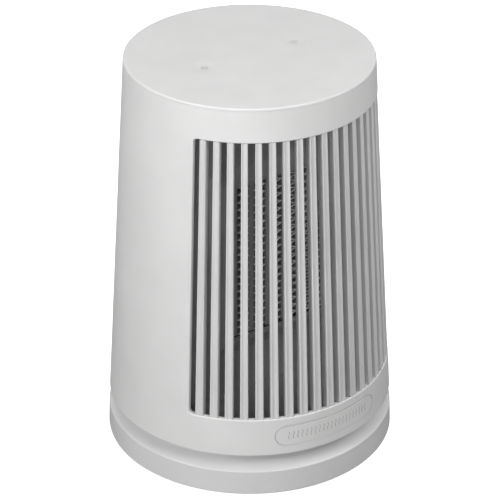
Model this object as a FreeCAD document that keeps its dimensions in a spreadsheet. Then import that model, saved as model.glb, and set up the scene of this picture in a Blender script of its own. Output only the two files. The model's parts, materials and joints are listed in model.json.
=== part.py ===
"""Desktop ceramic space heater: a tapered round head that swings on a round base.

Row frame: +Z up, front grille towards -Y, origin on the swivel axis at the surface the feet stand on.
Sizes are millimetres, kept in the spreadsheet "sizes" and bound to the features by expressions.
"""
import FreeCAD, Part
import math
import os
import re
import Sketcher
from FreeCAD import Placement, Rotation, Vector

SIZES = {
    # overall form
    "total_height": 213.0,
    "shell_foot_z": 23.5,
    "shell_foot_radius": 74.5,
    "shell_top_radius": 63.1,
    "shell_wall": 2.4,
    "cover_seam_z": 211.5,
    "cover_edge_radius": 0.9,
    # front opening and its slats
    "opening_half_angle": 59.7,
    "opening_low_z": 43.8,
    "opening_high_z": 195.0,
    "opening_corner_radius": 2.2,
    "opening_edge_radius": 0.6,
    "slat_count": 19,
    "slat_pitch": 6.15,
    "slot_width": 3.6,
    "slat_depth": 5.0,
    "slat_inset": 0.3,
    "slat_rounding": 0.4,
    "slat_channel_radius": 1.9,
    "slat_channel_depth": 0.42,
    "flange_overlap": 5.0,
    "flange_half_angle": 62.0,
    # rear intake
    "intake_half_angle": 37.8,
    "intake_low_z": 66.0,
    "intake_high_z": 172.0,
    "intake_slots": 20,
    "intake_pitch": 3.6,
    "intake_slot_width": 2.0,
    "intake_inset": 0.6,
    # outlined field for a label
    "label_z": 33.6,
    "label_half_length": 30.8,
    "label_radius": 5.45,
    "label_line_width": 0.5,
    "label_line_depth": 0.3,
    # base
    "base_radius": 75.5,
    "base_edge_radius": 75.0,
    "base_edge_z": 13.8,
    "foot_height": 0.6,
    "neck_radius": 66.0,
    "neck_foot_z": 17.4,
    "deck_z": 20.5,
    "deck_thickness": 2.2,
    "base_wall": 2.4,
    "plate_thickness": 2.4,
    "foot_radius": 7.0,
    "foot_circle": 58.0,
    "post_circle": 60.0,
    "post_radius": 3.5,
    # swivel
    "pivot_radius": 12.0,
    "pivot_bore": 9.0,
    "pivot_top_z": 33.2,
    "hub_radius": 16.0,
    "hub_top_z": 31.2,
    "running_gap": 0.08,
    "clip_groove": 10.9,
    "floor_z": 24.0,
    "floor_thickness": 2.4,
    "slide_inner": 52.0,
    "slide_outer": 58.0,
    "slide_top_z": 22.0,
    "gear_module": 1.0,
    "sector_teeth": 64,
    "pinion_teeth": 12,
    "gear_low_z": 21.0,
    "pinion_top_z": 23.6,
    "motor_radius": 14.0,
    "motor_low_z": 3.8,
    "motor_top_z": 16.5,
    # tip-over switch
    "switch_x": -40.0,
    "switch_y": 22.0,
    "plunger_radius": 2.0,
    "plunger_top_z": 10.3,
    "plunger_flange_z": 7.2,
    # heater core
    "core_width": 72.0,
    "core_height": 86.5,
    "core_front": -31.0,
    "core_depth": 11.0,
    "core_z": 118.2,
    "bar_pitch": 10.0,
    "bar_thickness": 2.6,
    "fin_period": 4.2,
    "fin_thickness": 0.3,
    "frame_side": 2.0,
    # dark panel round the core
    "bezel_front": -30.0,
    "bezel_thickness": 2.0,
    "bezel_lip_front": -34.0,
    "bezel_low_z": 40.0,
    "bezel_high_z": 199.0,
    "collar_back": -17.0,
    "collar_wall": 1.8,
    # fan
    "fan_bore": 40.0,
    "fan_side": 88.0,
    "fan_front": -17.0,
    "fan_back": 8.5,
    "impeller_radius": 38.5,
    "fan_hub_radius": 16.0,
    "blade_count": 7,
    # boards
    "board_z": 40.0,
    "board_thickness": 1.6,
    "touch_offset": 27.0,
    "dimple_radius": 6.8,
    "dimple_depth": 0.5,
    "touch_board_z": 203.4,
    "light_pipe_radius": 2.0,
    # cord inlet
    "grommet_bore": 3.4,
    "grommet_radius": 4.3,
    "grommet_z": 8.2,
}

doc = FreeCAD.newDocument("space_heater")
sheet = doc.addObject("Spreadsheet::Sheet", "sizes")
for row, (alias, value) in enumerate(SIZES.items(), 1):
    sheet.set(f"A{row}", alias)
    sheet.set(f"B{row}", str(value))
    sheet.setAlias(f"B{row}", alias)
scratch = doc.addObject("Spreadsheet::Sheet", "scratch")
doc.recompute()

NODES = {}
UP = Vector(0, 0, 1)
TO_Y = Rotation(Vector(1, 0, 0), -90)  # turns +Z to +Y
FRONT = Rotation(UP, -90)  # turns a body's +X to the heater's front, -Y
REAR = Rotation(UP, 90)


def size(text):
    """The value of a size, or of an expression of sizes, worked out in a cell of its own sheet."""
    scratch.set("A1", "=" + bound(text))
    scratch.recompute()
    return float(scratch.get("A1"))


def bound(text):
    """An expression of sizes, written for an object outside the sheet."""
    return re.sub(
        r"[a-z_]{3,}", lambda m: "sizes." + m.group(0) if m.group(0) in SIZES else m.group(0), str(text)
    )


def shell_radius(z):
    """The outer radius of the tapered shell at a height, as an expression."""
    return (
        f"(shell_foot_radius - (shell_foot_radius - shell_top_radius)"
        f" * (({z}) - shell_foot_z) / (total_height - shell_foot_z))"
    )


def bind(thing, **properties):
    for name, text in properties.items():
        thing.setExpression(name.replace("__", "."), bound(text))


def place(thing, x, y, z, turn=None):
    if turn is not None:
        thing.Placement = Placement(Vector(), turn)
    bind(thing, Placement__Base__x=x, Placement__Base__y=y, Placement__Base__z=z)
    return thing


def box(x, y, z, dx, dy, dz):
    """A box centred on x and y, standing on z."""
    made = doc.addObject("Part::Box", "box")
    bind(made, Length=dx, Width=dy, Height=dz)
    return place(made, f"({x}) - ({dx}) / 2", f"({y}) - ({dy}) / 2", z)


def rod(x, y, z, radius, height, turn=None):
    """A cylinder from x, y, z along +Z, or along the direction that turn gives."""
    made = doc.addObject("Part::Cylinder", "rod")
    bind(made, Radius=radius, Height=height)
    return place(made, x, y, z, turn)


def tube(x, y, z, inner, outer, height, turn=None):
    return cut(rod(x, y, z, outer, height, turn), rod(x, y, z, inner, height, turn))


def fuse(*pieces):
    if len(pieces) == 1:
        return pieces[0]
    made = doc.addObject("Part::MultiFuse", "fuse")
    made.Shapes = list(pieces)
    return made


def cut(base, *tools):
    made = doc.addObject("Part::Cut", "cut")
    made.Base = base
    made.Tool = fuse(*tools)
    return made


def common(first, second):
    made = doc.addObject("Part::Common", "common")
    made.Base = first
    made.Tool = second
    return made


def group(*pieces):
    """Separate solids of one node."""
    made = doc.addObject("Part::Compound", "group")
    made.Links = list(pieces)
    return made


def plain(shape):
    """A document object for a shape that Part's own functions made."""
    made = doc.addObject("Part::Feature", "shape")
    made.Shape = shape
    return made


def node(label, thing):
    thing.Label = label
    NODES[label] = thing
    return thing


def origin_plane(body, role):
    return next(f for f in body.Origin.OriginFeatures if f.Role == role)


def sketch_on(body, role, points, turn=None):
    """A closed outline of straight lines, each corner bound to expressions of sizes."""
    sketch = body.newObject("Sketcher::SketchObject", "outline")
    sketch.AttachmentSupport = [(origin_plane(body, role), "")]
    sketch.MapMode = "FlatFace"
    if turn is not None:
        sketch.AttachmentOffset = Placement(Vector(), turn)
    corners = [Vector(size(a), size(b), 0) for a, b in points]
    for n, corner in enumerate(corners):
        sketch.addGeometry(Part.LineSegment(corner, corners[(n + 1) % len(corners)]), False)
    for n in range(len(corners)):
        sketch.addConstraint(Sketcher.Constraint("Coincident", n, 2, (n + 1) % len(corners), 1))
    for n, texts in enumerate(points):
        for kind, text in zip(("DistanceX", "DistanceY"), texts):
            if abs(size(text)) < 1e-9:
                axis = -2 if kind == "DistanceX" else -1
                sketch.addConstraint(Sketcher.Constraint("PointOnObject", n, 1, axis))
                continue
            made = sketch.addConstraint(Sketcher.Constraint(kind, -1, 1, n, 1, size(text)))
            sketch.setExpression(f"Constraints[{made}]", bound(text))
    return sketch


def turned(points, angle=None, turn=None):
    """A body turned about Z from an outline of (radius, height), or a sector about the body's +X."""
    body = doc.addObject("PartDesign::Body", "body")
    sketch = sketch_on(body, "XZ_Plane", points)
    made = body.newObject("PartDesign::Revolution", "turned")
    made.Profile = sketch
    made.ReferenceAxis = (sketch, ["V_Axis"])
    if angle is not None:
        made.Midplane = True
        bind(made, Angle=angle)
    body.Tip = made
    if turn is not None:
        body.Placement = Placement(Vector(), turn)
    doc.recompute()
    return body


def groove(body, points, angle):
    """Cuts a sector about the body's +X, from an outline of (radius, height)."""
    sketch = sketch_on(body, "XZ_Plane", points)
    made = body.newObject("PartDesign::Groove", "groove")
    made.Profile = sketch
    made.ReferenceAxis = (sketch, ["V_Axis"])
    made.Midplane = True
    bind(made, Angle=angle)
    body.Tip = made
    doc.recompute()


def slots(body, width, low, high, count, pitch):
    """Cuts upright slots through a sector, spread evenly about the body's +X."""
    first = -(count - 1) / 2 * size(pitch)
    outline = [
        (f"-({width}) / 2", low),
        (f"({width}) / 2", low),
        (f"({width}) / 2", high),
        (f"-({width}) / 2", high),
    ]
    sketch = sketch_on(body, "YZ_Plane", outline, Rotation(Vector(0, 1, 0), first))
    pocket = body.newObject("PartDesign::Pocket", "slot")
    pocket.Profile = sketch
    pocket.Type = "ThroughAll"
    pocket.Reversed = True
    pattern = body.newObject("PartDesign::PolarPattern", "slots")
    pattern.Originals = [pocket]
    pattern.Axis = (origin_plane(body, "Z_Axis"), [""])
    pattern.Occurrences = count
    bind(pattern, Angle=f"{count - 1} * ({pitch})")
    body.Tip = pattern
    doc.recompute()


def fillet_edges(body, radius, wanted):
    """Rounds the edges of the body's tip that the test picks."""
    tip = body.Tip
    names = [f"Edge{n}" for n, edge in enumerate(tip.Shape.Edges, 1) if wanted(edge)]
    made = body.newObject("PartDesign::Fillet", "rounding")
    made.Base = (tip, names)
    bind(made, Radius=radius)
    body.Tip = made
    doc.recompute()
    return len(names)


def around(radius, angles):
    """Points on a circle, as numbers."""
    return [
        (size(radius) * math.cos(math.radians(a)), size(radius) * math.sin(math.radians(a))) for a in angles
    ]


def screw(x, y, z, head_radius, head_height, shank_radius, length, turn=None, inward=1):
    """A pan-head screw: its head starts at z and its shank runs on from there."""
    direction = (turn or Rotation()).multVec(UP) * inward
    flip = (turn or Rotation()) * (Rotation() if inward > 0 else Rotation(Vector(1, 0, 0), 180))
    head_end = [f"({c}) + ({head_height}) * {d:.6g}" for c, d in zip((x, y, z), direction)]
    head = rod(x, y, z, head_radius, head_height, flip)
    shank = rod(*head_end, shank_radius, length, flip)
    slot_turn = flip
    drive = doc.addObject("Part::Prism", "drive")
    drive.Polygon = 6
    bind(drive, Circumradius=f"({head_radius}) * 0.45", Height=f"({head_height}) * 0.5")
    place(drive, x, y, z, slot_turn)
    return cut(fuse(head, shank), drive)


# ---------------------------------------------------------------- outer casing


def wall_outline(low, high, outside, inside):
    """A sector of the tapered wall between two heights, given its two depths below the outer face."""
    return [
        (f"{shell_radius(low)} - ({outside})", low),
        (f"{shell_radius(high)} - ({outside})", high),
        (f"{shell_radius(high)} - ({inside})", high),
        (f"{shell_radius(low)} - ({inside})", low),
    ]


SCREW_ANGLES = (45, 135, 225, 315)
HEAD_SCREW_CIRCLE = "shell_foot_radius - 6.6"


def outer_shell():
    body = turned(wall_outline("shell_foot_z", "cover_seam_z", "0", "shell_wall"), turn=FRONT)
    opening = wall_outline("opening_low_z", "opening_high_z", "-2", "shell_wall + 2")
    groove(body, opening, "2 * opening_half_angle")
    low, high = size("opening_low_z"), size("opening_high_z")

    def corner(edge):
        """The four short edges that run through the wall at the opening's corners."""
        return edge.Length < 2 * size("shell_wall") and min(
            abs(edge.CenterOfMass.z - low), abs(edge.CenterOfMass.z - high)
        ) < 0.2

    fillet_edges(body, "opening_corner_radius", corner)

    def rim(edge):
        """The edges round the opening on the shell's outer face."""
        middle = edge.valueAt((edge.FirstParameter + edge.LastParameter) / 2)
        radius = math.hypot(middle.x, middle.y)
        return low - 0.3 < middle.z < high + 0.3 and abs(radius - size(shell_radius(middle.z))) < 0.05

    fillet_edges(body, "opening_edge_radius", rim)
    intake = wall_outline("intake_low_z", "intake_high_z", "-2", "shell_wall + 2")
    rear = turned(intake, "2 * intake_half_angle", REAR)
    bosses = []
    for x, y in around(HEAD_SCREW_CIRCLE, SCREW_ANGLES):
        post = rod(x, y, "floor_z + floor_thickness", "3.6", "9.5")
        rib = box(f"{x} * 1.045", f"{y} * 1.045", "floor_z + floor_thickness", "4", "4", "9.5")
        bosses += [post, rib]
    inside = turned(
        [("0", "shell_foot_z - 1")]
        + [(f"{shell_radius(z)} - shell_wall / 2", z) for z in ("shell_foot_z - 1", "60")]
        + [("0", "60")]
    )
    pilots = [rod(x, y, "floor_z", "1.45", "10.6") for x, y in around(HEAD_SCREW_CIRCLE, SCREW_ANGLES)]
    shell = fuse(body, common(fuse(*bosses), inside))
    return cut(shell, rear, label_line(), *pilots)


def label_line():
    """The shallow line round the label field: a pill-shaped ring, limited to a skin of the shell."""

    def pill(grow):
        radius = f"label_radius + ({grow})"
        middle = "label_half_length - label_radius"
        ends = [rod(f"{side} * ({middle})", "-90", "label_z", radius, "40", TO_Y) for side in (-1, 1)]
        return fuse(box("0", "-70", f"label_z - {radius}", f"2 * ({middle})", "40", f"2 * ({radius})"), *ends)

    ring = cut(pill("label_line_width / 2"), pill("-label_line_width / 2"))
    skin = wall_outline("label_z - 9", "label_z + 9", "-1", "label_line_depth")
    return common(ring, turned(skin, "90", FRONT))


def slat_channels(low, high, count, pitch, inset):
    """Rods that lie along the slats' faces and press a shallow channel into each."""
    radius, depth = size("slat_channel_radius"), size("slat_channel_depth")
    start, end = size(low) - 3, size(high) + 3
    foot = size(shell_radius(start)) - size(inset) - depth + radius
    head = size(shell_radius(end)) - size(inset) - depth + radius
    rods = []
    for n in range(count):
        angle = math.radians((n - (count - 1) / 2) * size(pitch) - 90)
        out = Vector(math.cos(angle), math.sin(angle), 0)
        below, above = out * foot + UP * start, out * head + UP * end
        rods.append(Part.makeCylinder(radius, (above - below).Length, below, above - below))
    return plain(Part.makeCompound(rods))


def grille(half_slats, pitch, width, low, high, depth, inset, flange_angle, slat_angle, turn):
    """A slatted insert: slats set into the opening, standing out from a flange behind the shell's wall."""
    behind = wall_outline(
        f"{low} - flange_overlap", f"{high} + flange_overlap", "shell_wall + 0.1", "shell_wall + 2.1"
    )
    flange = turned(behind, f"2 * ({flange_angle})", turn)
    ends = wall_outline(f"{low} - 1.6", f"{high} + 1.6", "-1", f"({depth}) + 1")
    groove(flange, ends, f"2 * ({slat_angle}) + 4.6")

    def depth_at(z, below):
        return (f"{shell_radius(z)} - ({below})", z)

    foot, head = f"{low} + 0.15", f"{high} - 0.15"
    bar = [
        depth_at(foot, inset),
        depth_at(head, inset),
        depth_at(head, "shell_wall + 0.1"),
        depth_at(f"{high} + 4", "shell_wall + 0.1"),
        depth_at(f"{high} + 4", depth),
        depth_at(f"{low} - 4", depth),
        depth_at(f"{low} - 4", "shell_wall + 0.1"),
        depth_at(foot, "shell_wall + 0.1"),
    ]
    slats = turned(bar, f"2 * ({slat_angle})", turn)
    slots(slats, width, f"{low} - 1.6", f"{high} + 1.6", 2 * half_slats, pitch)

    def slat_edge(edge):
        """The long edges of the slats' outer faces."""
        middle = edge.valueAt((edge.FirstParameter + edge.LastParameter) / 2)
        depth_here = size(shell_radius(middle.z)) - math.hypot(middle.x, middle.y)
        return edge.Length > size(high) - size(low) - 2 and abs(depth_here - size(inset)) < 0.1

    fillet_edges(slats, "slat_rounding", slat_edge)
    return fuse(flange, slats)


def top_cover():
    rim = shell_radius("cover_seam_z")
    inner = f"({shell_radius('cover_seam_z')} - shell_wall - 0.1)"
    body = turned(
        [
            ("0", "total_height"),
            ("shell_top_radius", "total_height"),
            (rim, "cover_seam_z + 0.1"),
            (inner, "cover_seam_z + 0.1"),
            (inner, "cover_seam_z - 5"),
            (f"{inner} - 1.8", "cover_seam_z - 5"),
            (f"{inner} - 1.8", "cover_seam_z - 1"),
            ("0", "cover_seam_z - 1"),
        ]
    )

    def edge_at_top(edge):
        return abs(edge.CenterOfMass.z - size("total_height")) < 0.01 and edge.Length > 300

    fillet_edges(body, "cover_edge_radius", edge_at_top)
    tools = []
    ball = "(dimple_radius ^ 2 + dimple_depth ^ 2) / (2 * dimple_depth)"
    posts = []
    for side in (-1, 1):
        dish = doc.addObject("Part::Sphere", "dish")
        bind(dish, Radius=ball)
        place(dish, f"{side} * touch_offset", "0", f"total_height - dimple_depth + {ball}")
        tools.append(dish)
        tools.append(
            rod(f"{side} * touch_offset", "0", "cover_seam_z - 2", "light_pipe_radius + 0.05", "10")
        )
        posts.append(
            rod(
                f"{side} * 12",
                "0",
                "touch_board_z + board_thickness",
                "3",
                "cover_seam_z - 0.5 - touch_board_z - board_thickness",
            )
        )
        tools.append(rod(f"{side} * 12", "0", "touch_board_z", "1.1", "cover_seam_z - 1 - touch_board_z"))
    return cut(fuse(body, *posts), *tools)


# ---------------------------------------------------------------- heater core


def upright_frame(width, height, wall, front, depth):
    """A rectangular ring round the core's axis, its hole width by height."""
    outer = box(
        "0", f"{front} + ({depth}) / 2", f"core_z - ({height}) / 2 - {wall}",
        f"{width} + 2 * ({wall})", depth, f"{height} + 2 * ({wall})",
    )  # fmt: skip
    return cut(outer, box("0", f"{front} + ({depth}) / 2", f"core_z - ({height}) / 2", width, f"{depth} + 2", height))


def bezel_lip():
    """The raised frame round the window: a rectangle that narrows towards the front."""
    def outline(grow, y):
        half_w = size("core_width") / 2 + grow
        half_h = size("core_height") / 2 + grow
        z = size("core_z")
        corners = [
            Vector(-half_w, y, z - half_h), Vector(half_w, y, z - half_h),
            Vector(half_w, y, z + half_h), Vector(-half_w, y, z + half_h),
        ]  # fmt: skip
        return Part.makePolygon(corners + corners[:1])

    back, front = size("bezel_front"), size("bezel_lip_front")
    return plain(Part.makeLoft([outline(9.0, back), outline(1.6, front)], True, True))


def heater_bezel():
    face = box(
        "0", "bezel_front + bezel_thickness / 2", "bezel_low_z", "140", "bezel_thickness", "bezel_high_z - bezel_low_z"
    )  # fmt: skip
    shelves = [
        box("0", "-50", z, "140", "42", "bezel_thickness") for z in ("bezel_low_z", "bezel_high_z - bezel_thickness")
    ]
    inside = turned(
        [("0", "bezel_low_z - 1")]
        + [(f"{shell_radius(z)} - slat_depth - 0.6", z) for z in ("bezel_low_z - 1", "bezel_high_z + 1")]
        + [("0", "bezel_high_z + 1")]
    )
    collar = upright_frame(
        "core_width + 2 * frame_side + 0.4", "core_height + 2 * frame_side + 0.4", "collar_wall",
        "bezel_front + bezel_thickness", "collar_back - bezel_front - bezel_thickness",
    )  # fmt: skip
    window = box("0", "bezel_lip_front", "core_z - core_height / 2", "core_width", "30", "core_height")
    seat = box(
        "0", "core_front - 0.5 + 10", "core_z - core_height / 2 - frame_side - 0.2",
        "core_width + 2 * frame_side + 0.4", "20", "core_height + 2 * frame_side + 0.4",
    )  # fmt: skip
    notches = [box(f"{side} * 12", "-24", "core_z - 52", "8", "3", "14") for side in (-1, 1)]
    return cut(fuse(common(fuse(face, *shelves), inside), bezel_lip(), collar), window, seat, *notches)


def bars():
    return range(-3, 4)


def ptc_tubes():
    made = []
    for n in bars():
        y = "core_front + core_depth / 2"
        outer = box(f"{n} * bar_pitch", y, "core_z - core_height / 2", "bar_thickness", "core_depth - 1", "core_height")
        hollow = box(
            f"{n} * bar_pitch", y, "core_z - core_height / 2 - 1", "bar_thickness - 0.9", "core_depth - 2", "core_height + 2"
        )  # fmt: skip
        made.append(cut(outer, hollow))
    return group(*made)


def ptc_stones():
    count, length = 6, 13.5
    made = []
    for n in bars():
        for k in range(count):
            z = f"core_z + ({k} - {count} / 2) * {length + 0.4} + 0.2"
            made.append(
                box(f"{n} * bar_pitch", "core_front + core_depth / 2", z, "bar_thickness - 1", "core_depth - 2.2", length)
            )
    return group(*made)


def heater_fins():
    """Folded strips between the tubes: each runs up the core in a zigzag."""
    edges = [size("-core_width / 2")]
    for n in bars():
        edges += [n * size("bar_pitch") - size("bar_thickness") / 2, n * size("bar_pitch") + size("bar_thickness") / 2]
    edges.append(size("core_width / 2"))
    low = size("core_z - core_height / 2") + 0.1
    legs = int((size("core_height") - 0.2) / (size("fin_period") / 2))
    rise = (size("core_height") - 0.2) / legs
    depth = Vector(0, size("core_depth") - 1, 0)
    strips = []
    for left, right in zip(edges[::2], edges[1::2]):
        slope = math.hypot(right - left, rise) / rise
        half = size("fin_thickness") / 2 * slope
        ends = (left + half, right - half)
        path = [Vector(ends[n % 2], size("core_front") + 0.5, low + n * rise) for n in range(legs + 1)]
        there = [p + Vector(half, 0, 0) for p in path]
        back = [p - Vector(half, 0, 0) for p in reversed(path)]
        strips.append(Part.Face(Part.makePolygon(there + back + there[:1])).extrude(depth))
    return plain(Part.makeCompound(strips))


def heater_terminals():
    tabs = []
    for side in (-1, 1):
        tab = box(f"{side} * 12", "-24", "core_z - core_height / 2 - 12", "6.3", "0.8", "11.9")
        hole = rod(f"{side} * 12", "-30", "core_z - core_height / 2 - 8", "0.9", "12", TO_Y)
        tabs.append(cut(tab, hole))
    return group(*tabs)


def heater_frame():
    ring = upright_frame("core_width", "core_height", "frame_side", "core_front", "core_depth")
    notches = [box(f"{side} * 12", "-24", "core_z - 50", "6.6", "1.1", "9") for side in (-1, 1)]
    return cut(ring, *notches)


# ---------------------------------------------------------------- fan


def fan_frame():
    flange = box("0", "fan_front + 1", "core_z - 48", "84", "2", "96")
    case = box(
        "0", "(fan_front + fan_back) / 2", "core_z - fan_side / 2", "fan_side", "fan_back - fan_front", "fan_side"
    )  # fmt: skip
    bore = rod("0", "fan_front - 1", "core_z", "fan_bore", "fan_back - fan_front + 2", TO_Y)
    struts = []
    for n in range(4):
        strut = box("0", "fan_back - 1.5", "core_z", "4", "3", "fan_bore + 1")
        strut.Placement = Placement(Vector(), Rotation())
        turn = doc.addObject("Part::Feature", "strut")
        doc.recompute()
        shape = strut.Shape.copy()
        shape.rotate(Vector(0, 0, size("core_z")), Vector(0, 1, 0), 45 + 90 * n)
        turn.Shape = shape
        struts.append(turn)
    seat = rod("0", "fan_back - 3", "core_z", "15", "3", TO_Y)
    barrel = rod("0", "-9", "core_z", "4.5", "fan_back + 9", TO_Y)
    holes = [
        rod(f"{sx} * 40", "fan_front - 1", f"core_z + {sz} * 40", "1.7", "30", TO_Y)
        for sx in (-1, 1)
        for sz in (-1, 1)
    ]
    pocket = rod("0", "-9", "core_z", "3.02", "fan_back + 9", TO_Y)
    return cut(fuse(cut(fuse(flange, case), bore), *struts, seat, barrel), pocket, *holes)


def fan_stator():
    core = tube("0", "-7.5", "core_z", "4.55", "12.6", "7", TO_Y)
    windows = []
    for n in range(4):
        shape = Part.makeBox(3.2, 9, 8, Vector(-1.6, -8.5, 6))
        shape.rotate(Vector(), Vector(0, 1, 0), 45 + 90 * n)
        shape.translate(Vector(0, 0, size("core_z")))
        windows.append(plain(shape))
    plate = tube("0", "0", "core_z", "4.55", "12.6", "1", TO_Y)
    return group(cut(core, *windows), plate)


def fan_bearings():
    return group(*[tube("0", y, "core_z", "1.52", "3", "3", TO_Y) for y in ("-8.6", "4.5")])


def blade():
    """One twisted blade, lofted from its root to its tip along +Z."""
    sections = []
    for radius, pitch_angle, chord in (
        (size("fan_hub_radius") - 0.6, 52, 13.0),
        ((size("fan_hub_radius") + size("impeller_radius")) / 2, 40, 17.0),
        (size("impeller_radius"), 30, 20.0),
    ):
        a = math.radians(pitch_angle)
        along = Vector(math.cos(a), -math.sin(a), 0)
        across = Vector(math.sin(a), math.cos(a), 0)
        ends = [along * (-chord / 2), along * (chord / 2)]
        bow = across * (chord * 0.09)
        thick = across * 1.2
        base = Vector(0, 0, radius)
        low = Part.Arc(base + ends[0], base + bow, base + ends[1]).toShape()
        high = Part.Arc(base + ends[1] + thick, base + bow + thick, base + ends[0] + thick).toShape()
        sides = [
            Part.makeLine(base + ends[1], base + ends[1] + thick),
            Part.makeLine(base + ends[0] + thick, base + ends[0]),
        ]
        sections.append(Part.Wire([low, sides[0], high, sides[1]]))
    return Part.makeLoft(sections, True, False)


def fan_impeller():
    middle = Vector(0, size("-5"), size("core_z"))
    reach = Part.makeCylinder(size("impeller_radius"), 40, Vector(0, -25, size("core_z")), Vector(0, 1, 0))
    blades = []
    for n in range(int(size("blade_count"))):
        shape = blade()
        shape.rotate(Vector(), Vector(0, 1, 0), 360 / size("blade_count") * n)
        shape.translate(middle)
        blades.append(shape.common(reach))
    hub = Part.makeCylinder(size("fan_hub_radius"), 16, Vector(0, -13, size("core_z")), Vector(0, 1, 0))
    cup = Part.makeCylinder(size("fan_hub_radius") - 0.9, 15, Vector(0, -11.8, size("core_z")), Vector(0, 1, 0))
    boss = Part.makeCylinder(3.4, 2.4, Vector(0, -12, size("core_z")), Vector(0, 1, 0))
    bore = Part.makeCylinder(1.49, 4, Vector(0, -12.6, size("core_z")), Vector(0, 1, 0))
    rounded = hub.makeFillet(1.2, [e for e in hub.Edges if abs(e.CenterOfMass.y + 13) < 0.01 and e.Length > 20])
    body = rounded.fuse(blades).cut(cup).fuse(boss).cut(bore).removeSplitter()
    return plain(body)


# ---------------------------------------------------------------- base and swivel


def base_cover():
    """The base's wall, its sloping shelf, the deck under the head and the hollow pivot, in one piece."""
    under = "deck_z - deck_thickness"
    body = turned(
        [
            ("base_radius", "foot_height"),
            ("base_edge_radius", "base_edge_z"),
            ("neck_radius + 1", "neck_foot_z"),
            ("neck_radius", "deck_z"),
            ("pivot_radius", "deck_z"),
            ("pivot_radius", "hub_top_z + 0.1"),
            ("clip_groove", "hub_top_z + 0.1"),
            ("clip_groove", "hub_top_z + 1.3"),
            ("pivot_radius", "hub_top_z + 1.3"),
            ("pivot_radius", "pivot_top_z"),
            ("pivot_bore", "pivot_top_z"),
            ("pivot_bore", under),
            ("neck_radius - 2.2", under),
            ("neck_radius - 1.2", "neck_foot_z - 2"),
            ("base_edge_radius - base_wall", "base_edge_z - 2"),
            ("base_radius - base_wall", "foot_height"),
        ]
    )

    def outer_edge(edge):
        long = edge.Length > 2 * math.pi * (size("base_edge_radius") - 0.2)
        return long and min(abs(edge.CenterOfMass.z - size(z)) for z in ("foot_height", "base_edge_z")) < 0.05

    fillet_edges(body, "0.5", outer_edge)

    def valley(edge):
        circle = 2 * math.pi * (size("neck_radius") + 1)
        return abs(edge.CenterOfMass.z - size("neck_foot_z")) < 0.05 and abs(edge.Length - circle) < 1

    fillet_edges(body, "2", valley)
    top = "(foot_height + plate_thickness)"
    posts = [rod(x, y, top, "post_radius", f"{under} - {top} + 0.5") for x, y in around("post_circle", SCREW_ANGLES)]
    ears = [rod(f"{side} * 17.5", PINION_Y, "motor_top_z", "3", f"{under} - motor_top_z + 0.5") for side in (-1, 1)]
    pilots = [rod(x, y, "foot_height", "1.2", "11") for x, y in around("post_circle", SCREW_ANGLES)]
    ear_pilots = [rod(f"{side} * 17.5", PINION_Y, "motor_top_z - 1", "1.1", "4.4") for side in (-1, 1)]
    shaft_hole = rod("0", PINION_Y, f"{under} - 1", "5", "6")
    inlet = rod("0", "base_radius - 8", "grommet_z", "grommet_radius + 0.05", "12", TO_Y)
    flange_room = box("0", "base_edge_radius - base_wall - 1.3", "grommet_z + 3", "12", "3.4", "2.3")
    return cut(fuse(body, *posts, *ears), *pilots, *ear_pilots, shaft_hole, inlet, flange_room)


PINION_Y = "gear_module * (sector_teeth + pinion_teeth) / 2"
STAKES = [(38, -16), (-38, -16), (0, -44)]


def base_plate():
    """The base's floor, level with the foot of its wall."""
    disc = rod("0", "0", "foot_height", "base_radius - base_wall - 0.2", "plate_thickness")
    stakes = [rod(x, y, "foot_height + 1", "2", "plate_thickness + 3") for x, y in STAKES]
    guide = rod("switch_x", "switch_y", "foot_height + 1", "plunger_radius + 1.4", "plate_thickness")
    tools = [rod(x, y, "0", "1.6", "6") for x, y in around("post_circle", SCREW_ANGLES)]
    tools += [rod(x, y, "0", "3.1", "foot_height + 1.2") for x, y in around("post_circle", SCREW_ANGLES)]
    feet = around("foot_circle", range(0, 360, 90))
    tools += [rod(x, y, "0", "foot_radius + 0.1", "foot_height + 1.2") for x, y in feet]
    tools += [rod("switch_x", "switch_y", "0", "plunger_radius + running_gap", "8")]
    tools += [box(0, y, "0", "26", "2", "6") for y in (30, 34, 38, 42, 46)]
    return cut(fuse(disc, *stakes, guide), *tools)


def counterweight():
    """A half ring of steel over the front of the base plate."""
    ring = tube("0", "0", "foot_height + plate_thickness", "20", "54", "3")
    half = box("0", "-44", "0", "150", "80", "20")
    holes = [rod(x, y, "0", "2.1", "12") for x, y in STAKES]
    return cut(common(ring, half), *holes)


def swivel_motor():
    y = PINION_Y
    can = rod("0", y, "motor_low_z", "motor_radius", "motor_top_z - motor_low_z")
    ears = box("0", y, "motor_top_z - 0.8", "42", "7", "0.8")
    boss = rod("0", y, "motor_top_z", "4.5", "1.6")
    plug = box("0", f"{y} + motor_radius", "motor_low_z + 2", "14", "6", "7")
    holes = [rod(f"{side} * 17.5", y, "motor_top_z - 2", "1.3", "4") for side in (-1, 1)]
    return cut(fuse(can, ears, boss, plug), rod("0", y, "motor_top_z - 4", "2.5", "8"), *holes)


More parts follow.
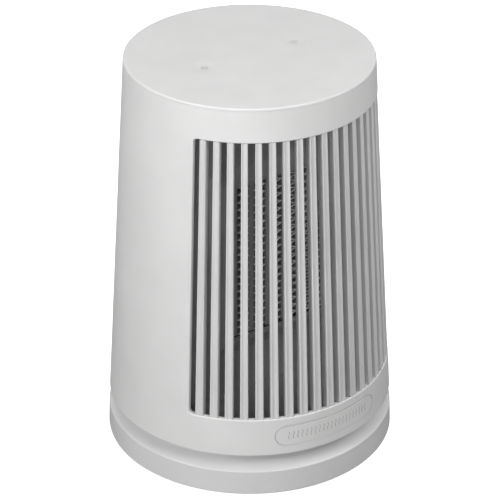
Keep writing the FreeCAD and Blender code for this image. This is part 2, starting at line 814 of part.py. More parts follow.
def gear(teeth, tooth_range, inner, low, high, phase, backlash):
    """Part of a spur gear about Z: involute flanks, each an arc through its foot, pitch and tip points."""
    module, pressure = size("gear_module"), math.radians(20)
    pitch_radius = module * teeth / 2
    base_radius = pitch_radius * math.cos(pressure)
    root, tip = pitch_radius - 1.25 * module, pitch_radius + module
    involute = lambda a: math.tan(a) - a
    half = math.pi / (2 * teeth) - backlash / (4 * pitch_radius)

    def flank_angle(radius):
        """Half the tooth's angle at a radius."""
        a = math.acos(min(1.0, base_radius / max(radius, base_radius)))
        return half + involute(pressure) - involute(a)

    def point(radius, angle):
        return Vector(radius * math.cos(angle), radius * math.sin(angle), 0)

    edges = []
    start = max(root, base_radius)
    steps = [start, (start + tip) / 2, tip]
    first = None
    last = None
    for n in tooth_range:
        middle = phase + 2 * math.pi * n / teeth
        rise = [point(r, middle - flank_angle(r)) for r in steps]
        fall = [point(r, middle + flank_angle(r)) for r in reversed(steps)]
        feet = [point(root, middle - flank_angle(start)), point(root, middle + flank_angle(start))]
        if last is not None:
            edges.append(Part.makeLine(last, feet[0]))
        first = first or feet[0]
        if feet[0].distanceToPoint(rise[0]) > 1e-6:
            edges.append(Part.makeLine(feet[0], rise[0]))
        edges.append(Part.Arc(*rise).toShape())
        edges.append(Part.Arc(rise[2], point(tip, middle), fall[0]).toShape())
        edges.append(Part.Arc(*fall).toShape())
        if feet[1].distanceToPoint(fall[2]) > 1e-6:
            edges.append(Part.makeLine(fall[2], feet[1]))
        last = feet[1]
    if len(tooth_range) == teeth:
        edges.append(Part.makeLine(last, first))
    else:
        ends = [point(inner, math.atan2(p.y, p.x)) for p in (last, first)]
        middle = (math.atan2(last.y, last.x) + math.atan2(first.y, first.x)) / 2
        edges.append(Part.makeLine(last, ends[0]))
        edges.append(Part.Arc(ends[0], point(inner, middle), ends[1]).toShape())
        edges.append(Part.makeLine(ends[1], first))
    face = Part.Face(Part.Wire(Part.sortEdges(edges)[0]))
    made = face.extrude(Vector(0, 0, high - low))
    made.translate(Vector(0, 0, low))
    return made


def sector_gear():
    """A toothed sector under the head, centred on the pinion's side, with a gap between teeth facing it."""
    teeth = int(size("sector_teeth"))
    phase = math.pi / 2 + math.pi / teeth
    reach = teeth * 50 // 360
    shape = gear(teeth, range(-reach, reach), 25.5, size("gear_low_z"), size("floor_z"), phase, 0.2)
    return cut(plain(shape), *[rod(x, y, "0", "1.25", "40") for x, y in GEAR_STAKES])


GEAR_STAKES = [(28 * math.cos(math.radians(a)), 28 * math.sin(math.radians(a))) for a in (55, 90, 125)]


def drive_pinion():
    teeth = int(size("pinion_teeth"))
    shape = gear(teeth, range(teeth), 0, size("gear_low_z"), size("pinion_top_z"), -math.pi / 2, 0.2)
    shape.translate(Vector(0, size(PINION_Y), 0))
    shaft = rod("0", PINION_Y, "motor_top_z - 3.5", "2.5 - running_gap", "gear_low_z - motor_top_z + 4")
    return fuse(plain(shape), shaft)


def head_floor():
    body = turned(
        [
            ("pivot_radius + running_gap", "floor_z - 1.4"),
            ("pivot_radius + running_gap", "hub_top_z"),
            ("hub_radius", "hub_top_z"),
            ("hub_radius", "floor_z + floor_thickness"),
            ("shell_foot_radius - shell_wall - 0.5", "floor_z + floor_thickness"),
            ("shell_foot_radius - shell_wall - 0.5", "floor_z"),
            ("slide_outer - 1", "floor_z"),
            ("slide_outer - 1", "slide_top_z + 0.2"),
            ("slide_inner + 1", "slide_top_z + 0.2"),
            ("slide_inner + 1", "floor_z"),
            ("hub_radius", "floor_z"),
            ("hub_radius", "floor_z - 1.4"),
        ]
    )
    top = "floor_z + floor_thickness"
    posts = [rod(x, y, f"{top} - 0.5", "3", "board_z - floor_z - floor_thickness + 0.5") for x, y in BOARD_POSTS]
    stakes = [rod(x, y, "gear_low_z + 0.6", "1.2", "floor_z - gear_low_z") for x, y in GEAR_STAKES]
    holes = [rod(x, y, "floor_z - 1", "1.6", "8") for x, y in around(HEAD_SCREW_CIRCLE, SCREW_ANGLES)]
    holes += [rod(x, y, f"{top} + 4", "1.1", "20") for x, y in BOARD_POSTS]
    return cut(fuse(body, *posts, *stakes), *holes)


BOARD_POSTS = [(sx * 38, y) for sx in (-1, 1) for y in (-18, 30)]


def pivot_circlip():
    ring = tube("0", "0", "hub_top_z + 0.15", "clip_groove + 0.05", "15.2", "1.1")
    return cut(ring, box("0", "-14", "hub_top_z", "12", "16", "4"))


def tip_plunger():
    stem = rod("switch_x", "switch_y", "0", "plunger_radius", "plunger_top_z")
    flange = rod("switch_x", "switch_y", "plunger_flange_z", "3.3", "0.8")
    return fuse(stem, flange)


def tip_spring():
    wire, mean, low, high = 0.3, 2.6, size("plunger_flange_z") + 1.0, size("plunger_top_z") + 0.05
    length = high - low - wire
    helix = Part.makeHelix(length / 3.5, length, mean)
    profile = Part.Wire(Part.Circle(Vector(mean, 0, 0), Vector(0, 1, 0), wire / 2).toShape())
    coil = Part.Wire(helix).makePipeShell([profile], True, True)
    coil.translate(Vector(size("switch_x"), size("switch_y"), low + wire / 2))
    return plain(coil)


def tip_switch():
    z = "plunger_top_z + 0.1"
    body = box("switch_x", "switch_y", f"{z} + 0.2", "7.2", "13.2", "6")
    seat = box("switch_x", "switch_y", z, "7.2", "8", "0.4")
    legs = [box("switch_x", f"switch_y + {d}", f"{z} + 6", "2.4", "0.6", "1.6") for d in (-5, 0, 5)]
    return fuse(body, seat, *legs)


def cord_grommet():
    inner = "base_edge_radius - base_wall - 2.3"
    bush = rod("0", inner, "grommet_z", "grommet_radius", "4.9", TO_Y)
    flange = rod("0", inner, "grommet_z", "5", "2", TO_Y)
    return cut(fuse(bush, flange), rod("0", f"{inner} - 1", "grommet_z", "grommet_bore", "12", TO_Y))


# ---------------------------------------------------------------- boards and small pieces


def control_board():
    plate = box("0", "6", "board_z", "90", "62", "board_thickness")
    return cut(plate, *[rod(x, y, "board_z - 1", "1.3", "4") for x, y in BOARD_POSTS])


def board_components():
    top = "board_z + board_thickness"
    relay = box("-28", "2", top, "19", "15.5", "15")
    power_module = box("22", "14", top, "28", "20", "15")
    capacitors = [rod(x, -12, top, "4", "11") for x in (-8, 2)]
    sockets = [box(x, 31, top, "9", "6", "7") for x in (-22, -8, 6)]
    chip = box("24", "-10", top, "10", "7", "1.6")
    choke = tube("-10", "14", top, "2.6", "7", "7")
    return group(relay, power_module, *capacitors, *sockets, chip, choke)


def touch_board():
    plate = box("0", "0", "touch_board_z", "74", "20", "board_thickness")
    return cut(plate, *[rod(f"{side} * 12", "0", "touch_board_z - 1", "1.3", "4") for side in (-1, 1)])


def both_sides(make):
    return group(*[make(side) for side in (-1, 1)])


def heater_leads():
    """Two insulated leads that rise from the board to the heater's tabs."""
    leads = []
    for side in (-1, 1):
        x, low = side * 12, size("board_z + board_thickness")
        high = size("core_z - core_height / 2") - 9
        points = [Vector(x, -18, low), Vector(x, -18, low + 6), Vector(x, -22.6, high - 8), Vector(x, -22.6, high + 4)]
        runs = [(points[0], points[1]), (points[2], points[3])]
        path = Part.BSplineCurve()
        path.interpolate([points[1], points[2]], InitialTangent=UP * 12, FinalTangent=UP * 12)
        wire = Part.Wire([Part.makeLine(*runs[0]), path.toShape(), Part.makeLine(*runs[1])])
        ring = Part.Wire(Part.Circle(points[0], UP, 0.9).toShape())
        leads.append(wire.makePipeShell([ring], True, True))
    return plain(Part.makeCompound(leads))


def build():
    node("outer_shell", outer_shell())
    half = int((size("slat_count") + 1) / 2)
    slat_angle = "(slat_count - 1) / 2 * slat_pitch + slat_pitch / 2"
    front = grille(
        half, "slat_pitch", "slot_width", "opening_low_z", "opening_high_z", "slat_depth",
        "slat_inset", "flange_half_angle", slat_angle, FRONT,
    )  # fmt: skip
    channels = slat_channels(
        "opening_low_z", "opening_high_z", int(size("slat_count")), "slat_pitch", "slat_inset"
    )
    node("front_grille", cut(front, channels))
    rear = grille(
        int(size("intake_slots") / 2), "intake_pitch", "intake_slot_width", "intake_low_z", "intake_high_z",
        "slat_depth", "intake_inset", "intake_half_angle + 3", "intake_half_angle - 0.3", REAR,
    )  # fmt: skip
    node("rear_grille", rear)
    screen = wall_outline("intake_low_z - 4", "intake_high_z + 4", "slat_depth + 0.4", "slat_depth + 1.4")
    node("dust_filter", turned(screen, "2 * intake_half_angle + 4", REAR))
    node("top_cover", top_cover())
    node("heater_bezel", heater_bezel())
    node("heater_frame", heater_frame())
    node("ptc_tubes", ptc_tubes())
    node("ptc_stones", ptc_stones())
    node("heater_fins", heater_fins())
    node("heater_terminals", heater_terminals())
    collar_top = "core_z + core_height / 2 + frame_side + 0.2 + collar_wall"
    node("cutout_bracket", box("0", "-22", collar_top, "26", "9", "0.8"))
    can = rod("0", "-19.5", f"{collar_top} + 0.8", "7.5", "5")
    legs = [box(f"{side} * 3.6", "-19.5", f"{collar_top} + 5.6", "0.8", "5", "6") for side in (-1, 1)]
    node("thermal_cutout", fuse(can, *legs))
    node("thermal_fuse", rod("20", "-27.5", f"{collar_top} + 2.2", "2.1", "9.5", TO_Y))
    node("fan_frame", fan_frame())
    node("fan_stator", fan_stator())
    node("fan_bearings", fan_bearings())
    node("fan_impeller", fan_impeller())
    node("rotor_magnet", tube("0", "-11.4", "core_z", "13.2", "15.1", "13", TO_Y))
    node("fan_shaft", rod("0", "-12.4", "core_z", "1.48", "20", TO_Y))
    corners = [(sx, sz) for sx in (-1, 1) for sz in (-1, 1)]
    node("fan_screws", group(*[
        screw(f"{sx} * 40", "fan_back + 1.8", f"core_z + {sz} * 40", "3", "1.8", "1.5", "23", TO_Y, -1)
        for sx, sz in corners
    ]))  # fmt: skip
    node("head_floor", head_floor())
    node("sector_gear", sector_gear())
    node("head_screws", group(*[
        screw(x, y, "floor_z - 1.4", "2.8", "1.4", "1.4", "10.5") for x, y in around(HEAD_SCREW_CIRCLE, SCREW_ANGLES)
    ]))  # fmt: skip
    node("control_board", control_board())
    node("board_components", board_components())
    node("board_screws", group(*[
        screw(x, y, "board_z + board_thickness + 1.4", "2.4", "1.4", "1.05", "7", None, -1) for x, y in BOARD_POSTS
    ]))  # fmt: skip
    node("heater_leads", heater_leads())
    node("touch_board", touch_board())
    pad_height = "cover_seam_z - 1 - touch_board_z - board_thickness"
    node("touch_pads", both_sides(lambda side: tube(
        f"{side} * touch_offset", "0", "touch_board_z + board_thickness", "2.6", "5.2", pad_height
    )))  # fmt: skip
    node("light_pipes", both_sides(lambda side: rod(
        f"{side} * touch_offset", "0", "touch_board_z + board_thickness + 0.6", "light_pipe_radius",
        "total_height - dimple_depth - touch_board_z - board_thickness - 0.6",
    )))  # fmt: skip
    node("touch_screws", both_sides(lambda side: screw(
        f"{side} * 12", "0", "touch_board_z - 1.3", "2.2", "1.3", "1.05", "6"
    )))  # fmt: skip
    node("base_cover", base_cover())
    node("base_plate", base_plate())
    node("rubber_feet", group(*[
        rod(x, y, "0", "foot_radius", "foot_height + 1.2") for x, y in around("foot_circle", range(0, 360, 90))
    ]))  # fmt: skip
    node("base_screws", group(*[
        screw(x, y, "foot_height + 0.2", "2.8", "1", "1.15", "9") for x, y in around("post_circle", SCREW_ANGLES)
    ]))  # fmt: skip
    node("counterweight", counterweight())
    node("swivel_motor", swivel_motor())
    node("motor_screws", both_sides(lambda side: screw(
        f"{side} * 17.5", PINION_Y, "motor_top_z - 2.2", "2.2", "1.4", "1.05", "4.2"
    )))  # fmt: skip
    node("drive_pinion", drive_pinion())
    node("slide_ring", tube("0", "0", "deck_z", "slide_inner", "slide_outer", "slide_top_z - deck_z"))
    node("pivot_circlip", pivot_circlip())
    node("tip_plunger", tip_plunger())
    node("tip_spring", tip_spring())
    node("tip_switch", tip_switch())
    node("cord_grommet", cord_grommet())


def check_and_write():
    doc.removeObject(scratch.Name)
    doc.recompute()
    failed = [o.Name for o in doc.Objects if {"Invalid", "Error"} & set(o.State)]
    if failed:
        raise SystemExit(f"failed objects: {failed}")
    os.makedirs("parts", exist_ok=True)
    for label, thing in NODES.items():
        shape = thing.Shape
        if shape.isNull() or not shape.isValid() or not shape.Solids:
            raise SystemExit(f"{label} has no valid solid")
        solids = shape.Solids
        whole = solids[0] if len(solids) == 1 else Part.makeCompound(solids)
        whole.exportStep(f"parts/{label}.step")
        box_of = whole.BoundBox
        print(f"{label:18s} solids {len(solids):3d} volume {whole.Volume:10.1f} z {box_of.ZMin:.2f} {box_of.ZMax:.2f}")


build()
check_and_write()
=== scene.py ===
"""Looks of a desktop ceramic space heater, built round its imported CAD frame.

Metres, +Z up along the swivel axis, front grille towards -Y, origin where the feet stand.
"""
import json
import math

import bmesh
import bpy
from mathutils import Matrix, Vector

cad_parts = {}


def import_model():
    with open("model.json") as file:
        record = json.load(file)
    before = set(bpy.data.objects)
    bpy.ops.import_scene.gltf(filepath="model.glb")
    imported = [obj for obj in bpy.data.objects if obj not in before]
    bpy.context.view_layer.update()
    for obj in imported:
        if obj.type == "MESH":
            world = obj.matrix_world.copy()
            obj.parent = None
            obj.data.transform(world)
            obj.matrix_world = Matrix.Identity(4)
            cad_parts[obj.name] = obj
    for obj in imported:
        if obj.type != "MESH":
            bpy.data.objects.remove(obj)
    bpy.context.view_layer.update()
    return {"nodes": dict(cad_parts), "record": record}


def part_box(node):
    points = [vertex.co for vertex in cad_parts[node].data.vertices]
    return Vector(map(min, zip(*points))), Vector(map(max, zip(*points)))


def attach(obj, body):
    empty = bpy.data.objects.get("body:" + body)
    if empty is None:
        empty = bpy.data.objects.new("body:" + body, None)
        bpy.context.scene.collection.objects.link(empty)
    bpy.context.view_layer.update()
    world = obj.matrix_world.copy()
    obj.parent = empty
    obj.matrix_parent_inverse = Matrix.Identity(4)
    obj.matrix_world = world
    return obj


MM = 0.001

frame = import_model()
NODES = frame["nodes"]
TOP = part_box("top_cover")[1].z

# The tapered shell: its outer radius at two heights.
SHELL_FOOT = (23.5 * MM, 74.5 * MM)
SHELL_HEAD = (213.0 * MM, 63.1 * MM)


def shell_radius(z):
    share = (z - SHELL_FOOT[0]) / (SHELL_HEAD[0] - SHELL_FOOT[0])
    return SHELL_FOOT[1] + (SHELL_HEAD[1] - SHELL_FOOT[1]) * share


# ---------------------------------------------------------------- materials


class Nodes:
    """A short way to write a material's node tree."""

    def __init__(self, name):
        self.material = bpy.data.materials.new(name)
        self.material.use_nodes = True
        self.tree = self.material.node_tree
        self.shader = self.tree.nodes["Principled BSDF"]
        self.place = self.add("ShaderNodeTexCoord").outputs["Object"]

    def add(self, kind, **values):
        made = self.tree.nodes.new(kind)
        for key, value in values.items():
            setattr(made, key, value)
        return made

    def link(self, source, target):
        self.tree.links.new(source, target)

    def noise(self, scale, detail=2.0, roughness=0.5, stretch=None):
        made = self.add("ShaderNodeTexNoise")
        made.inputs["Scale"].default_value = scale
        made.inputs["Detail"].default_value = detail
        made.inputs["Roughness"].default_value = roughness
        place = self.place
        if stretch is not None:
            mapping = self.add("ShaderNodeMapping")
            mapping.inputs["Scale"].default_value = stretch
            self.link(place, mapping.inputs["Vector"])
            place = mapping.outputs["Vector"]
        self.link(place, made.inputs["Vector"])
        return made.outputs["Fac"]

    def ramp(self, source, stops):
        made = self.add("ShaderNodeValToRGB")
        elements = made.color_ramp.elements
        while len(elements) < len(stops):
            elements.new(0.5)
        for element, (position, colour) in zip(elements, stops):
            element.position = position
            element.color = (*colour, 1.0)
        self.link(source, made.inputs["Fac"])
        return made.outputs["Color"]

    def spread(self, source, low, high):
        made = self.add("ShaderNodeMapRange")
        made.inputs["To Min"].default_value = low
        made.inputs["To Max"].default_value = high
        self.link(source, made.inputs["Value"])
        return made.outputs["Result"]

    def math(self, operation, first, second):
        made = self.add("ShaderNodeMath", operation=operation)
        for socket, value in zip(made.inputs, (first, second)):
            if isinstance(value, (int, float)):
                socket.default_value = value
            else:
                self.link(value, socket)
        return made.outputs["Value"]

    def bump(self, height, strength, distance):
        made = self.add("ShaderNodeBump")
        made.inputs["Strength"].default_value = strength
        made.inputs["Distance"].default_value = distance
        self.link(height, made.inputs["Height"])
        self.link(made.outputs["Normal"], self.shader.inputs["Normal"])

    def colour(self, source):
        self.link(source, self.shader.inputs["Base Color"])

    def roughness(self, source):
        self.link(source, self.shader.inputs["Roughness"])

    def set(self, **values):
        for key, value in values.items():
            self.shader.inputs[key.replace("_", " ").title().replace("Ior", "IOR")].default_value = value


def grey(level, tint=0.0):
    """A neutral colour, warmed or cooled a little."""
    return (level * (1 + tint), level, level * (1 - tint))


def moulded(name, colour, rough, grain=0.35, spread=0.03, size=2600.0):
    """Moulded plastic: a fine spark-eroded grain, a faint flow pattern and uneven sheen."""
    m = Nodes(name)
    low = tuple(c * (1 - spread) for c in colour)
    high = tuple(min(1.0, c * (1 + spread)) for c in colour)
    m.colour(m.ramp(m.noise(38.0, 4.0), [(0.3, low), (0.7, high)]))
    m.roughness(m.spread(m.noise(90.0, 3.0), rough - 0.05, rough + 0.05))
    m.bump(m.noise(size, 3.0, 0.6), grain, 0.02 * MM)
    m.set(specular_ior_level=0.42)
    return m.material


def metal(name, colour, rough, stretch=(1.0, 1.0, 40.0), strength=0.25, bare=1.0):
    """Rolled or drawn metal: streaks along the grain and smudged gloss."""
    m = Nodes(name)
    low = tuple(c * 0.84 for c in colour)
    streaks = m.noise(420.0, 5.0, 0.65, stretch)
    m.colour(m.ramp(streaks, [(0.25, low), (0.75, colour)]))
    m.roughness(m.spread(m.noise(160.0, 3.0), rough - 0.07, rough + 0.1))
    m.bump(streaks, strength, 0.02 * MM)
    m.set(metallic=bare)
    return m.material


def rubber(name, colour):
    m = Nodes(name)
    low = tuple(c * 0.75 for c in colour)
    m.colour(m.ramp(m.noise(240.0, 5.0, 0.7), [(0.3, low), (0.72, colour)]))
    m.roughness(m.spread(m.noise(500.0, 2.0), 0.62, 0.85))
    m.bump(m.noise(3200.0, 2.0), 0.4, 0.03 * MM)
    m.set(specular_ior_level=0.3)
    return m.material


def fins():
    """Thin sheet, bright along its front edge, with painted shade that darkens it with depth behind that
    edge.
    """
    m = Nodes("fin_metal")
    split = m.add("ShaderNodeSeparateXYZ")
    m.link(m.place, split.inputs["Vector"])
    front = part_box("heater_fins")[0].y
    fully_shaded_depth = 10 * MM
    # Painted shade: the colour runs from bright at the front edge to dark deep in the fin stack, with a
    # little random mottle.
    depth = m.math("MULTIPLY", m.math("SUBTRACT", split.outputs["Y"], front), 1 / fully_shaded_depth)
    shade_with_mottle = m.math("ADD", depth, m.math("MULTIPLY", m.math("SUBTRACT", m.noise(900.0, 3.0), 0.5), 0.05))
    m.colour(m.ramp(shade_with_mottle, [(0.02, grey(0.85)), (0.05, grey(0.36)), (1.0, grey(0.15))]))
    m.roughness(m.spread(m.noise(700.0, 3.0), 0.38, 0.62))
    m.bump(m.noise(1500.0, 3.0), 0.3, 0.02 * MM)
    m.set(metallic=0.25)
    return m.material


def ceramic(name, colour):
    m = Nodes(name)
    speck = m.noise(5200.0, 2.0, 0.7)
    m.colour(m.ramp(speck, [(0.35, tuple(c * 0.7 for c in colour)), (0.62, colour)]))
    m.roughness(m.spread(m.noise(600.0, 3.0), 0.6, 0.9))
    m.bump(speck, 0.4, 0.02 * MM)
    return m.material


def laminate():
    """Circuit board: green lacquer over a glass weave, with tracks just showing through."""
    m = Nodes("board_laminate")
    tracks = m.add("ShaderNodeTexBrick")
    tracks.inputs["Scale"].default_value = 160.0
    tracks.inputs["Mortar Size"].default_value = 0.06
    tracks.inputs["Color1"].default_value = (0.010, 0.085, 0.035, 1)
    tracks.inputs["Color2"].default_value = (0.014, 0.100, 0.040, 1)
    tracks.inputs["Mortar"].default_value = (0.035, 0.170, 0.075, 1)
    m.link(m.place, tracks.inputs["Vector"])
    m.colour(tracks.outputs["Color"])
    m.roughness(m.spread(m.noise(300.0, 3.0), 0.22, 0.36))
    m.bump(tracks.outputs["Fac"], 0.3, 0.03 * MM)
    return m.material


def mesh_filter():
    """A black woven dust screen."""
    m = Nodes("filter_mesh")
    weave = []
    for axis in ("X", "Z"):
        wave = m.add("ShaderNodeTexWave", wave_type="BANDS", bands_direction=axis)
        wave.inputs["Scale"].default_value = 190.0
        m.link(m.place, wave.inputs["Vector"])
        weave.append(wave.outputs["Fac"])
    threads = m.math("MAXIMUM", *weave)
    m.colour(m.ramp(threads, [(0.35, grey(0.004)), (0.75, grey(0.045))]))
    m.bump(threads, 0.8, 0.25 * MM)
    m.set(roughness=0.75)
    return m.material


WHITE = grey(0.70, 0.004)
MATERIALS = {
    "shell_plastic": moulded("shell_plastic", WHITE, 0.52),
    "grille_plastic": moulded("grille_plastic", grey(0.62), 0.48, 0.3),
    "intake_plastic": moulded("intake_plastic", WHITE, 0.50, 0.3),
    "cover_plastic": moulded("cover_plastic", WHITE, 0.64),
    # The base is a slightly darker white than the shell: partly painted shade for the base, low under the
    # head, and partly a different plastic.
    "base_plastic": moulded("base_plastic", grey(0.665), 0.56),
    "plate_plastic": moulded("plate_plastic", grey(0.55), 0.52),
    "bezel_plastic": moulded("bezel_plastic", grey(0.26), 0.55, 0.5, 0.06),
    "core_frame": moulded("core_frame", grey(0.02), 0.5, 0.4, 0.1),
    "cutout_body": moulded("cutout_body", grey(0.02), 0.35),
    "fan_case": moulded("fan_case", grey(0.02), 0.5),
    "fan_plastic": moulded("fan_plastic", grey(0.015), 0.3),
    "floor_plastic": moulded("floor_plastic", grey(0.05), 0.55, 0.5, 0.08),
    "gear_plastic": moulded("gear_plastic", (0.72, 0.70, 0.62), 0.3, 0.15),
    "component_plastic": moulded("component_plastic", grey(0.02), 0.4),
    "light_pipe": moulded("light_pipe", grey(0.62), 0.35, 0.1, 0.02),
    "slide_plastic": moulded("slide_plastic", grey(0.78), 0.28, 0.1),
    "plunger_plastic": moulded("plunger_plastic", grey(0.03), 0.3, 0.15),
    "switch_body": moulded("switch_body", grey(0.03), 0.4),
    "tube_metal": metal("tube_metal", grey(0.34), 0.6, bare=0.3),
    "fin_metal": fins(),
    "tab_brass": metal("tab_brass", (0.62, 0.48, 0.22), 0.35),
    "bracket_steel": metal("bracket_steel", grey(0.5), 0.35, (40.0, 1.0, 1.0)),
    "stator_steel": metal("stator_steel", grey(0.3), 0.5, (1.0, 60.0, 1.0), 0.5),
    "bearing_steel": metal("bearing_steel", grey(0.6), 0.22),
    "magnet_iron": metal("magnet_iron", grey(0.12), 0.6, (1.0, 1.0, 1.0)),
    "shaft_steel": metal("shaft_steel", grey(0.6), 0.2, (1.0, 50.0, 1.0)),
    "screw_steel": metal("screw_steel", grey(0.5), 0.3, (1.0, 1.0, 1.0)),
    "pad_metal": metal("pad_metal", grey(0.55), 0.3),
    "weight_steel": metal("weight_steel", grey(0.3), 0.5, (1.0, 30.0, 1.0)),
    "motor_steel": metal("motor_steel", grey(0.52), 0.32),
    "clip_steel": metal("clip_steel", grey(0.08), 0.4, (1.0, 1.0, 1.0)),
    "spring_steel": metal("spring_steel", grey(0.55), 0.25),
    "stone_ceramic": ceramic("stone_ceramic", (0.16, 0.15, 0.14)),
    "fuse_ceramic": ceramic("fuse_ceramic", (0.62, 0.60, 0.54)),
    "board_laminate": laminate(),
    "filter_mesh": mesh_filter(),
    "lead_rubber": rubber("lead_rubber", (0.35, 0.02, 0.015)),
    "foot_rubber": rubber("foot_rubber", grey(0.03)),
    "grommet_rubber": rubber("grommet_rubber", grey(0.58)),
}
for part in frame["record"]["subparts"]:
    thing = NODES[part["node"]]
    for holder in thing.material_slots:
        holder.material = MATERIALS[part["material_slot"]]


# ---------------------------------------------------------------- details


def piece(name, points, faces, material, body, slot):
    mesh = bpy.data.meshes.new(name)
    mesh.from_pydata([tuple(p) for p in points], [], faces)
    mesh.materials.append(material)
    made = bpy.data.objects.new(name, mesh)
    bpy.context.collection.objects.link(made)
    tidy = bmesh.new()
    tidy.from_mesh(mesh)
    bmesh.ops.recalc_face_normals(tidy, faces=tidy.faces)
    tidy.to_mesh(mesh)
    tidy.free()
    for face in mesh.polygons:
        face.use_smooth = True
    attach(made, body)
    return made


def on_shell(along, z, lift):
    """A point over the front of the shell: a distance round it, a height and a lift off the surface."""
    angle = along / shell_radius(LABEL_Z)
    reach = shell_radius(z) + lift
    return Vector((reach * math.sin(angle), -reach * math.cos(angle), z))


INK_LIFT = 0.02 * MM


def strip(path, width, sunk, place, closed=False):
    """A strip of ink along a path of (across, up) points on a surface, its edges sunk into it."""
    count = len(path)
    points, faces = [], []
    for n, here in enumerate(path):
        before = path[n - 1] if closed or n else here
        after = path[(n + 1) % count] if closed or n < count - 1 else here
        run = (Vector(after) - Vector(before)).normalized()
        side = Vector((-run.y, run.x)) * width / 2
        for share, lift in ((-1.0, -sunk), (-0.6, INK_LIFT), (0.6, INK_LIFT), (1.0, -sunk)):
            spot = Vector(here) + side * share
            points.append(place(spot.x, spot.y, lift))
    for n in range(count if closed else count - 1):
        a, b = 4 * n, 4 * ((n + 1) % count)
        faces += [(a + k, a + k + 1, b + k + 1, b + k) for k in range(3)]
        faces.append((a + 3, a, b, b + 3))
    if not closed:
        faces += [(0, 1, 2, 3), tuple(range(4 * count - 1, 4 * count - 5, -1))]
    return points, faces


def joined(parts):
    points, faces = [], []
    for more, over in parts:
        start = len(points)
        points += more
        faces += [tuple(start + k for k in face) for face in over]
    return points, faces


# The label field, measured round the shell: it lies in the groove that the CAD has there.
LABEL_Z = 33.6 * MM
LABEL_RADIUS = 5.45 * MM
LABEL_HALF = 31.8 * MM - LABEL_RADIUS
OUTLINE_WIDTH = 0.42 * MM
OUTLINE_SUNK = 0.05 * MM

WAVE_COUNT = 21
WAVE_PITCH = 2.45 * MM
WAVE_HEIGHT = 4.2 * MM
WAVE_SWAY = 0.32 * MM
WAVE_TURNS = 1.1
WAVE_STEPS = 12
WAVE_WIDTH = 0.34 * MM
WAVE_SUNK = 0.04 * MM


def pill(half, radius, steps=24, run=30):
    """A closed pill-shaped path about the label's middle."""
    path = []
    for side in (1, -1):
        for n in range(steps + 1):
            angle = math.radians(-90 + 180 * n / steps) + (0 if side > 0 else math.pi)
            path.append((side * half + radius * math.cos(angle), LABEL_Z + radius * math.sin(angle)))
        for n in range(1, run):
            path.append((side * half * (1 - 2 * n / run), LABEL_Z + side * radius))
    return path


INK = moulded("label_ink", grey(0.36), 0.6, 0.2)
OUTLINE_INK = moulded("outline_ink", grey(0.56), 0.6, 0.2)
outline = strip(pill(LABEL_HALF, LABEL_RADIUS), OUTLINE_WIDTH, OUTLINE_SUNK, on_shell, closed=True)
piece("label_outline", *outline, OUTLINE_INK, "head", "shell_plastic")


def heat_waves():
    """A row of little rising waves, a plain sign for warm air."""
    strokes = []
    for n in range(WAVE_COUNT):
        middle = (n - (WAVE_COUNT - 1) / 2) * WAVE_PITCH
        path = []
        for k in range(WAVE_STEPS + 1):
            share = k / WAVE_STEPS - 0.5
            sway = WAVE_SWAY * math.sin(share * 2 * math.pi * WAVE_TURNS)
            path.append((middle + sway, LABEL_Z + share * WAVE_HEIGHT))
        strokes.append(strip(path, WAVE_WIDTH, WAVE_SUNK, on_shell))
    return joined(strokes)


piece("label_waves", *heat_waves(), INK, "head", "shell_plastic")


def arc(centre, radius, start, end, steps=20):
    angles = [math.radians(start + (end - start) * n / steps) for n in range(steps + 1)]
    return [(centre[0] + radius * math.cos(a), centre[1] + radius * math.sin(a)) for a in angles]


# The two finger dimples in the top cover, and the signs in them.
KEY_X = 27 * MM
DISH_DEPTH = 0.5 * MM
DISH_RADIUS = 6.8 * MM
MARK_WIDTH = 0.32 * MM
MARK_SUNK = 0.02 * MM
POWER_RING = 1.5 * MM
POWER_STROKE = (0.4 * MM, 2.1 * MM)
SWING_ARC = 2.4 * MM
SWING_DOT = 1.1 * MM
ARROW_TIP = (2.5 * MM, 0.5 * MM)
ARROW_BARB = (0.75 * MM, 0.9 * MM)


def on_key(x, y, lift):
    """A point in a finger dimple."""
    middle = KEY_X if x > 0 else -KEY_X
    far = math.hypot(x - middle, y) / DISH_RADIUS
    return Vector((x, y, TOP - DISH_DEPTH * (1 - far * far) + lift))


KEY_INK = moulded("key_ink", grey(0.54), 0.6, 0.2)


def mark(path):
    return strip(path, MARK_WIDTH, MARK_SUNK, on_key)


def key_marks():
    """A stroke in a broken ring on one key, and a swing arrow on the other."""
    left, right = (-KEY_X, 0.0), (KEY_X, 0.0)
    marks = [
        mark(arc(left, POWER_RING, 125, 415)),
        mark([(-KEY_X, end) for end in POWER_STROKE]),
        mark(arc(right, SWING_ARC, 20, 160)),
        mark(arc(right, SWING_DOT, 0, 360)),
    ]
    for side in (-1, 1):
        tip = (KEY_X + side * ARROW_TIP[0], ARROW_TIP[1])
        for lean in (-1, 1):
            end = (tip[0] + lean * ARROW_BARB[0], tip[1] + ARROW_BARB[1])
            marks.append(mark([tip, end]))
    return joined(marks)


piece("key_marks", *key_marks(), KEY_INK, "head", "cover_plastic")


# ---------------------------------------------------------------- stage, light and camera


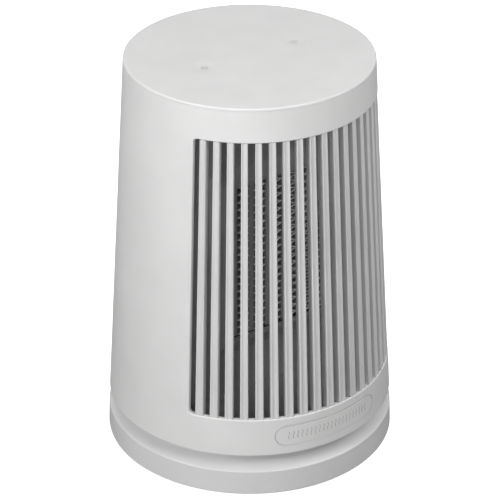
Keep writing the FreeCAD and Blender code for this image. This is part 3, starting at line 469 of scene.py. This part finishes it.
def floor():
    m = Nodes("studio_floor")
    m.colour(m.ramp(m.noise(3.0, 2.0), [(0.3, grey(0.93)), (0.7, grey(0.95))]))
    m.set(roughness=0.9, specular_ior_level=0.1, emission_strength=0.70)
    m.shader.inputs["Emission Color"].default_value = (1, 1, 1, 1)
    see_through = m.add("ShaderNodeBsdfTransparent")
    back = m.add("ShaderNodeNewGeometry").outputs["Backfacing"]
    mix = m.add("ShaderNodeMixShader")
    m.link(back, mix.inputs["Fac"])
    m.link(m.shader.outputs["BSDF"], mix.inputs[1])
    m.link(see_through.outputs["BSDF"], mix.inputs[2])
    m.link(mix.outputs["Shader"], m.tree.nodes["Material Output"].inputs["Surface"])
    reach = 6.0
    mesh = bpy.data.meshes.new("studio_floor")
    corners = [(-reach, -reach, 0), (reach, -reach, 0), (reach, reach, 0), (-reach, reach, 0)]
    mesh.from_pydata(corners, [], [(0, 1, 2, 3)])
    mesh.materials.append(m.material)
    made = bpy.data.objects.new("studio_floor", mesh)
    bpy.context.collection.objects.link(made)
    made.visible_diffuse = False  # the world's lower half stands for its bounce
    made.visible_glossy = False


def world(seen, above, below):
    """White behind the object. It is lit by two even greys, one from above and one from below."""
    made = bpy.data.worlds.new("studio")
    bpy.context.scene.world = made
    made.use_nodes = True
    tree = made.node_tree
    background = tree.nodes["Background"]
    split = tree.nodes.new("ShaderNodeSeparateXYZ")
    tree.links.new(tree.nodes.new("ShaderNodeTexCoord").outputs["Generated"], split.inputs["Vector"])
    blend = tree.nodes.new("ShaderNodeMapRange")
    horizon = 0.15
    blend.inputs["From Min"].default_value = -horizon
    blend.inputs["From Max"].default_value = horizon
    blend.inputs["To Min"].default_value = below
    blend.inputs["To Max"].default_value = above
    tree.links.new(split.outputs["Z"], blend.inputs["Value"])
    tree.links.new(blend.outputs["Result"], background.inputs["Color"])
    bright = tree.nodes.new("ShaderNodeBackground")
    bright.inputs["Color"].default_value = (*grey(seen), 1)
    mix = tree.nodes.new("ShaderNodeMixShader")
    path = tree.nodes.new("ShaderNodeLightPath")
    tree.links.new(path.outputs["Is Camera Ray"], mix.inputs["Fac"])
    tree.links.new(background.outputs["Background"], mix.inputs[1])
    tree.links.new(bright.outputs["Background"], mix.inputs[2])
    tree.links.new(mix.outputs["Shader"], tree.nodes["World Output"].inputs["Surface"])


def softbox(name, azimuth, elevation, distance, width, height, power, aim=(0, 0, 0.11)):
    """An area light at a bearing round the object: azimuth 0 is in front of it, 90 to its right."""
    a, e = math.radians(azimuth), math.radians(elevation)
    back = Vector((math.sin(a) * math.cos(e), -math.cos(a) * math.cos(e), math.sin(e)))
    data = bpy.data.lights.new(name, "AREA")
    data.shape = "RECTANGLE"
    data.size, data.size_y = width, height
    data.energy = power
    made = bpy.data.objects.new(name, data)
    made.location = Vector(aim) + back * distance
    made.rotation_mode = "QUATERNION"
    made.rotation_quaternion = (-back).to_track_quat("-Z", "Y")
    bpy.context.collection.objects.link(made)


def camera():
    """The viewpoint, from the sizes of the object as they are seen."""
    turn, rise = math.radians(34.7), math.radians(28.9)
    distance, target, across = 1.282, 0.10175, 0.0002  # metres
    flat = distance * math.cos(rise)
    side = Vector((math.cos(turn), -math.sin(turn), 0))
    back = Vector((-math.sin(turn) * flat, -math.cos(turn) * flat, distance * math.sin(rise)))
    data = bpy.data.cameras.new("camera")
    data.sensor_width = 36.0
    data.lens = 177.84
    data.clip_start, data.clip_end = 0.05, 50.0
    made = bpy.data.objects.new("camera", data)
    made.location = back + side * across + Vector((0, 0, target))
    made.rotation_mode = "QUATERNION"
    made.rotation_quaternion = (-back).to_track_quat("-Z", "Y")
    bpy.context.collection.objects.link(made)
    bpy.context.scene.camera = made


BODY = (0, 0, 0.12)
HEAD_UPPER = (0, 0, 0.22)

floor()
world(1.0, 0.05, 0.11)
softbox("overhead", -20, 80, 1.6, 1.4, 1.4, 8.8)
softbox("back", 160, 50, 2.0, 1.0, 1.0, 3.0)
softbox("right_back", 70, 40, 2.0, 1.0, 1.0, 8.6)
softbox("right_rear", 125, 12, 2.0, 1.2, 1.2, 7.0)
softbox("rear", 172, 12, 2.0, 1.2, 1.2, 10.5)
softbox("front", -10, 25, 2.0, 1.0, 1.0, 1.6)
softbox("low_front", -35, 8, 1.2, 0.5, 0.5, 1.8, BODY)
softbox("low_left", -60, 5, 2.0, 0.8, 0.8, 1.4)
softbox("left", -80, 15, 0.75, 0.4, 0.4, 4.2, HEAD_UPPER)
softbox("right_front", 10, 25, 0.75, 0.4, 0.4, 2.4, HEAD_UPPER)
camera()
bpy.context.scene.view_settings.view_transform = "Standard"
